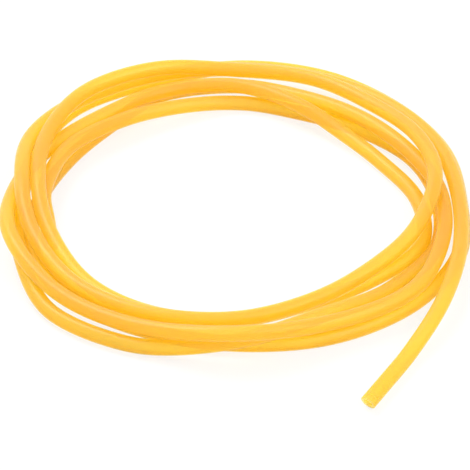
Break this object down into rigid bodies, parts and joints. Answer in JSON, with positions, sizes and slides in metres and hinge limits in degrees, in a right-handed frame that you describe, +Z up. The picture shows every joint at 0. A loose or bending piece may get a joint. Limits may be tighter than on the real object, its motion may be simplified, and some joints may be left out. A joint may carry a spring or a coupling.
{
  "type": "rubber tubing coil",
  "caption": "Loose coil of amber latex rubber tubing, one open-ended hollow length that lies flat, with one end led out.",
  "frame": {"origin": "bottom centre of the box round the coil and its led-out end, on the surface that the coil lies on", "axes": "+Z up from the surface, +Y away from the led-out end, across the coil, +X to the coil's right seen from the led-out end"},
  "size_m": [0.1816, 0.2234, 0.0186],
  "materials": {
    "tubing": "satin, translucent amber"
  },
  "bodies": {
    "root": {"tubing": "tubing"}
  },
  "joints": []
}
